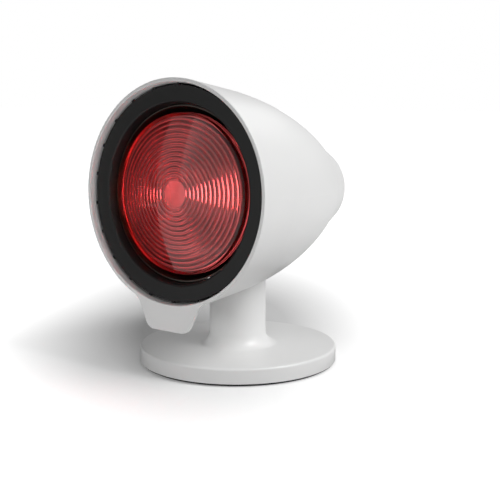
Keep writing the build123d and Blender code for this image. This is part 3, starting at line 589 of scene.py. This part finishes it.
overlap = 1.0 * mm
stand_facets = 192
lug_facets = 96
bore_facets = 48
boss_facets = 40
pilot_facets = 24


def joined(piece, operation, tool):
    """Adds a tool shape to a piece, cuts it out or keeps what both share."""
    boolean = piece.modifiers.new("shape", "BOOLEAN")
    boolean.operation = operation
    boolean.solver = "EXACT"
    boolean.object = tool
    bpy.ops.object.select_all(action="DESELECT")
    bpy.context.view_layer.objects.active = piece
    piece.select_set(True)
    bpy.ops.object.modifier_apply(modifier=boolean.name)
    bpy.data.objects.remove(tool)


def bar(radius, length, middle, along, vertices):
    """A round bar."""
    bpy.ops.object.select_all(action="DESELECT")
    bpy.ops.mesh.primitive_cylinder_add(
        vertices=vertices, radius=radius, depth=length, location=middle
    )
    piece = bpy.context.object
    piece.rotation_mode = "QUATERNION"
    piece.rotation_quaternion = along.to_track_quat("Z", "Y")
    bpy.ops.object.transform_apply(location=True, rotation=True, scale=True)
    return piece


stand_outline = rounded([
    (base_radius - base_wall, base_bottom, 0),
    (base_radius, base_bottom, base_lower_round),
    (base_radius, base_top, base_edge_round),
    (column_radius, base_top, column_foot_round),
    (column_radius, shoulder, column_edge_round),
    (neck_bore, shoulder, column_edge_round),
    (neck_bore, neck_start, 0),
    (column_bore, neck_start - (column_bore - neck_bore), 0),
    (column_bore, pocket_top, column_edge_round),
    (base_radius - base_wall, pocket_top, pocket_round),
], steps=10)
stand_body = turned(
    "stand_body", stand_outline, table_middle, upwards, leftwards, stand_facets
)

# the lugs: a block with a round top, trimmed to the column and parted by the neck's bore
bpy.ops.object.select_all(action="DESELECT")
lug_foot = shoulder - overlap
bpy.ops.mesh.primitive_cube_add(size=1.0, location=(0, 0, (lug_foot + pivot_height) / 2))
lugs = bpy.context.object
lugs.name = "lugs"
lugs.scale = (2 * lug_half_width, 2 * lug_radius, pivot_height - lug_foot)
bpy.ops.object.transform_apply(location=True, rotation=True, scale=True)
pivot = Vector((0, 0, pivot_height))
backwards = Vector((0, 1, 0))
trim_length = 80.0 * mm
bolt_drill = 60.0 * mm
pilot_drill = 15.0 * mm
bush_drill = 12.0 * mm
lug_trim = column_radius - lug_inset
joined(lugs, "UNION", bar(lug_radius, 2 * lug_half_width, pivot, leftwards, lug_facets))
joined(lugs, "INTERSECT", bar(lug_trim, trim_length, pivot, upwards, stand_facets))
joined(lugs, "DIFFERENCE", bar(neck_bore, trim_length, pivot, upwards, stand_facets))
joined(stand_body, "UNION", lugs)
joined(stand_body, "DIFFERENCE", bar(bolt_bore, bolt_drill, pivot, leftwards, bore_facets))
boss_top = pocket_top + overlap
boss_middle = (boss_bottom + boss_top) / 2
boss_height = boss_top - boss_bottom
for corner in (45, 135, 225, 315):
    place = compass(corner, 0) * boss_circle + Vector((0, 0, boss_middle))
    joined(stand_body, "UNION", bar(boss_radius, boss_height, place, upwards, boss_facets))
    place.z = boss_bottom
    joined(stand_body, "DIFFERENCE", bar(pilot_radius, pilot_drill, place, upwards, pilot_facets))
bush_place = Vector((0, base_radius, bush_height))
joined(stand_body, "DIFFERENCE", bar(bush_hole, bush_drill, bush_place, backwards, bore_facets))
smooth(stand_body)

# every white piece has the same two close tones, range of roughness, pits and depth of pits
white_plastic = ((0.80, 0.80, 0.797), (0.825, 0.825, 0.82), (0.30, 0.40), 1400.0, 0.003 * mm)
white_moulding = moulded("white_moulding", *white_plastic)
stand_body.data.materials.append(white_moulding)
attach(stand_body, "stand")
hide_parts("base_moulding", "column")

# ---------------------------------------------------------------- tilt hinge
# A zinc-plated bolt with a plain washer, a spring washer and a nut clamps the head's cheeks
# on two brown fibre discs, which hold the head where it is put.
disc_fibre = moulded(
    "disc_fibre", (0.15, 0.075, 0.035), (0.24, 0.13, 0.065), (0.6, 0.8), 700.0, 0.05 * mm
)
finish_nodes(disc_fibre, "friction_discs")
finish_nodes(screw_steel, "tilt_bolt", "bolt_washer", "spring_washer", "tilt_nut")

# ---------------------------------------------------------------- head shell and rear wall
# The bell-shaped head is white ABS with a fine gloss, moulded with its tilt lip. A wall with
# a ring of vents is glued into its rear end.
white_shell = moulded("white_shell", *white_plastic)
finish_nodes(white_shell, "lamp_shell", "rear_wall")

# ---------------------------------------------------------------- rear cap
# A deep cap of the same white plastic. Three posts stand it off the shell, so that air leaves
# all round, and three screws from inside the head hold it.
white_cap = moulded("white_cap", *white_plastic)
finish_nodes(white_cap, "rear_cap")
finish_nodes(screw_steel, "cap_screws")

# ---------------------------------------------------------------- shade ring
# A black ring of heat-proof plastic round the bulb, finely grained, with short spacers that
# centre it in the shell.
black_ring = moulded(
    "black_ring", (0.0065, 0.0065, 0.0065), (0.0095, 0.0095, 0.0095), (0.42, 0.52), 1500.0,
    0.008 * mm, Specular_IOR_Level=0.3,
)
finish_nodes(black_ring, "shade_ring")

# ---------------------------------------------------------------- heat shield and carrier
# The shield is pressed from aluminised steel, which the bulb's heat has browned a little. Its
# colour is painted far darker than that, as painted shade for the deep recess behind the shade ring.
# Rivets hold it on a zinc-plated plate, and three screws hold the plate in the head.
shield_metal, tree, shader = new_material("shield_metal", Metallic=1.0)
effect = placed_effect(tree, marks, Marks=500.0, Patches=35.0)
# painted shade with a little heat brown: far darker than the bright steel
tone = two_tone(tree, effect.outputs["Patches"], (0.045, 0.036, 0.030), (0.10, 0.09, 0.08))
tree.links.new(tone, shader.inputs["Base Color"])
tree.links.new(span(tree, effect.outputs["Marks"], 0.3, 0.5), shader.inputs["Roughness"])
bumped(tree, shader, effect.outputs["Marks"], 0.02 * mm)
finish_nodes(shield_metal, "heat_shield", "shield_rivets")
plate_steel = metal(
    "plate_steel", (0.42, 0.42, 0.40), (0.56, 0.55, 0.50), (0.3, 0.5), 700.0, 0.02 * mm
)
finish_nodes(plate_steel, "carrier_plate")
finish_nodes(screw_steel, "carrier_screws")

# ---------------------------------------------------------------- lampholder
# A body of glazed white porcelain stands in the carrier plate's hole, screwed down by two ears.
# Its screw sleeve is brass, and its contact a sprung bronze strip of much the same colour.
porcelain, tree, shader = new_material(
    "porcelain", Coat_Weight=0.6, Coat_Roughness=0.08, Roughness=0.35
)
effect = placed_effect(tree, grain, Pits=380.0, Flow=45.0)
tone = two_tone(tree, effect.outputs["Flow"], (0.70, 0.68, 0.63), (0.80, 0.79, 0.75))
tree.links.new(tone, shader.inputs["Base Color"])
bumped(tree, shader, effect.outputs["Pits"], 0.03 * mm)
finish_nodes(porcelain, "lampholder_body")
contact_brass = metal(
    "contact_brass", (0.52, 0.36, 0.14), (0.68, 0.50, 0.24), (0.2, 0.38), 1200.0, 0.01 * mm
)
finish_nodes(contact_brass, "lampholder_sleeve", "lampholder_contact")
finish_nodes(screw_steel, "lampholder_screws")

# ---------------------------------------------------------------- bulb: lens
# The lens is pressed from glass coloured red, smooth in front and ridged in rings on the inside,
# with a plain button in the middle. Its rim is melted on to the dish. The ridges and the button
# bend light more than real glass does, so that they mirror the near light more strongly.
tilt_at_rest = math.radians(2.9)
rim_above_pivot = 52.0 * mm
rim_before_pivot = 85.0 * mm
head_back = Vector((0, math.cos(tilt_at_rest), -math.sin(tilt_at_rest)))
head_up = Vector((0, math.sin(tilt_at_rest), math.cos(tilt_at_rest)))
rim_centre = pivot + head_up * rim_above_pivot - head_back * rim_before_pivot
lens_front = 3.0 * mm
lens_corner = 60.0 * mm
lens_corner_round = 1.2 * mm
lens_back = 18.0 * mm
lens_radius = 60.5 * mm
lens_skirt = 57.0 * mm
dome_radius = 240.0 * mm
lens_glass = 3.0 * mm
ridged_radius = 56.2 * mm
button_radius = 10.4 * mm
button_step = 0.5 * mm
ridge_count = 13
ridge_height = 0.75 * mm
ridge_steps = 8
dome_steps = 40
corner_steps = 6
lens_facets = 256
skirt_margin = 0.1 * mm


def dome_back(radius):
    """Distance back of the lens's smooth front at a radius."""
    return lens_front + dome_radius - math.sqrt(dome_radius**2 - radius**2)


lens_corner_back = dome_back(lens_corner)
lens_outline = []
for step in range(dome_steps + 1):
    radius = (lens_corner - lens_corner_round) * step / dome_steps
    lens_outline.append((radius, dome_back(radius)))
for step in range(1, corner_steps + 1):
    angle = math.radians(90 * step / corner_steps)
    lens_outline.append((
        lens_corner - lens_corner_round * (1 - math.sin(angle)),
        lens_corner_back + lens_corner_round * (1 - math.cos(angle)),
    ))
lens_outline += [
    (lens_radius, lens_back),
    (lens_skirt, lens_back),
    (lens_skirt, lens_corner_back + lens_glass),
]
ridge_pitch = (ridged_radius - button_radius) / ridge_count
for ridge in range(ridge_count):
    for step in range(ridge_steps):
        radius = ridged_radius - ridge_pitch * (ridge + step / ridge_steps)
        rise = ridge_height * math.sin(math.pi * step / ridge_steps)
        lens_outline.append((radius, dome_back(radius) + lens_glass + rise))
lens_outline += [
    (button_radius, dome_back(button_radius) + lens_glass),
    (button_radius - button_step, dome_back(0) + lens_glass + button_step),
    (0, dome_back(0) + lens_glass + button_step),
]
lens = turned("bulb_lens_glass", lens_outline, rim_centre, head_back, leftwards, lens_facets)
smooth(lens, angle=60)


def red_glass_face(name, dark, light, roughness, depth, index):
    """A face of the lens: glass with this tint and index, and a faint unevenness."""
    material, tree, shader = new_material(name, Transmission_Weight=1.0, IOR=index)
    effect = placed_effect(tree, grain, Pits=220.0, Flow=30.0)
    tone = two_tone(tree, effect.outputs["Flow"], dark, light)
    tree.links.new(tone, shader.inputs["Base Color"])
    tree.links.new(span(tree, effect.outputs["Pits"], *roughness), shader.inputs["Roughness"])
    bumped(tree, shader, effect.outputs["Pits"], depth)
    return material


red_glass = red_glass_face(
    "red_glass", (0.86, 0.10, 0.105), (0.92, 0.12, 0.12), (0.0, 0.02), 0.004 * mm, 1.47
)
ridge_glass = red_glass_face(
    "ridge_glass", (0.80, 0.13, 0.13), (0.86, 0.16, 0.16), (0.10, 0.17), 0.01 * mm, 2.2
)
# painted light: the button is the same red glass, tinted paler pink for the light it catches
button_glass = red_glass_face(
    "button_glass", (0.86, 0.18, 0.18), (0.92, 0.20, 0.20), (0.4, 0.5), 0.01 * mm, 2.8
)
for material in (red_glass, ridge_glass, button_glass):
    lens.data.materials.append(material)
front_face, ridge_face, button_face = range(3)
for face in lens.data.polygons:
    offset = face.center - rim_centre
    back = offset.dot(head_back)
    radius = (offset - head_back * back).length
    mid_glass = dome_back(min(radius, lens_skirt)) + lens_glass / 2
    on_button = radius < button_radius - button_step
    face.material_index = front_face
    if radius < lens_skirt + skirt_margin and back > mid_glass:
        face.material_index = button_face if on_button else ridge_face
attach(lens, "bulb")
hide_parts("bulb_lens")
glass_only.objects.link(lens)

# ---------------------------------------------------------------- bulb: dish
# The dish is pressed glass with an aluminium film, slightly rippled. Seen from behind it is
# bright. Its inside, behind the red lens, is painted dark grey: painted shade in place of the
# bright mirror that the film is.
dish_arc = 250.0 * mm
dish_arc_radius = -181.2 * mm
dish_arc_back = -47.6 * mm
dish_wall = 2.0 * mm
# the inner tone, the painted shade, turns into the outer one in the middle of the wall's thickness
film_start = 0.7 * dish_wall
film_end = 0.3 * dish_wall


def diagonal(tree, first, second):
    """The long side of a right-angled triangle, from its two short sides."""
    first_square = number(tree, "MULTIPLY", first, first)
    second_square = number(tree, "MULTIPLY", second, second)
    return number(tree, "POWER", number(tree, "ADD", first_square, second_square), 0.5)


coated_glass, tree, shader = new_material("coated_glass", Metallic=1.0)
effect = placed_effect(tree, grain, Pits=90.0, Flow=40.0)
where = tree.nodes.new("ShaderNodeTexCoord")
axis = tree.nodes.new("ShaderNodeMapping")
axis.vector_type = "TEXTURE"
axis.inputs["Location"].default_value = rim_centre
axis.inputs["Rotation"].default_value = (-tilt_at_rest, 0, 0)
tree.links.new(where.outputs["Object"], axis.inputs["Vector"])
parts = tree.nodes.new("ShaderNodeSeparateXYZ")
tree.links.new(axis.outputs[0], parts.inputs[0])
radius = diagonal(tree, parts.outputs["X"], parts.outputs["Z"])
from_arc = diagonal(
    tree,
    number(tree, "SUBTRACT", radius, dish_arc_radius),
    number(tree, "SUBTRACT", parts.outputs["Y"], dish_arc_back),
)
outside = span(tree, from_arc, 0.0, 1.0, dish_arc - film_start, dish_arc - film_end)
flow = effect.outputs["Flow"]
# painted shade: the film's inside is dark grey, where the real film is a bright mirror
inner_painted_shade = two_tone(tree, flow, (0.22, 0.22, 0.22), (0.28, 0.28, 0.28))
outer_tone = two_tone(tree, flow, (0.76, 0.75, 0.74), (0.86, 0.85, 0.84))
film_and_painted_shade = tree.nodes.new("ShaderNodeMix")
film_and_painted_shade.data_type = "RGBA"
tree.links.new(outside, film_and_painted_shade.inputs["Factor"])
tree.links.new(inner_painted_shade, film_and_painted_shade.inputs["A"])
tree.links.new(outer_tone, film_and_painted_shade.inputs["B"])
tree.links.new(film_and_painted_shade.outputs["Result"], shader.inputs["Base Color"])
tree.links.new(span(tree, effect.outputs["Pits"], 0.50, 0.62), shader.inputs["Roughness"])
bumped(tree, shader, effect.outputs["Pits"], 0.05 * mm)
finish_nodes(coated_glass, "bulb_reflector")

# ---------------------------------------------------------------- bulb: screw cap
# The cap is rolled from nickel-plated brass and fits over the neck of the dish. Black glass
# parts it from its brass contact.
cap_metal = metal(
    "cap_metal", (0.60, 0.58, 0.54), (0.72, 0.70, 0.66), (0.16, 0.3), 1500.0, 0.01 * mm
)
finish_nodes(cap_metal, "bulb_cap")
insulator_glass, tree, shader = new_material("insulator_glass", Coat_Weight=0.4)
effect = placed_effect(tree, grain, Pits=500.0, Flow=120.0)
tone = two_tone(tree, effect.outputs["Flow"], (0.010, 0.006, 0.014), (0.030, 0.022, 0.036))
tree.links.new(tone, shader.inputs["Base Color"])
tree.links.new(span(tree, effect.outputs["Pits"], 0.08, 0.25), shader.inputs["Roughness"])
bumped(tree, shader, effect.outputs["Pits"], 0.02 * mm)
finish_nodes(insulator_glass, "bulb_insulator")
finish_nodes(contact_brass, "bulb_contact")

bpy.context.view_layer.update()
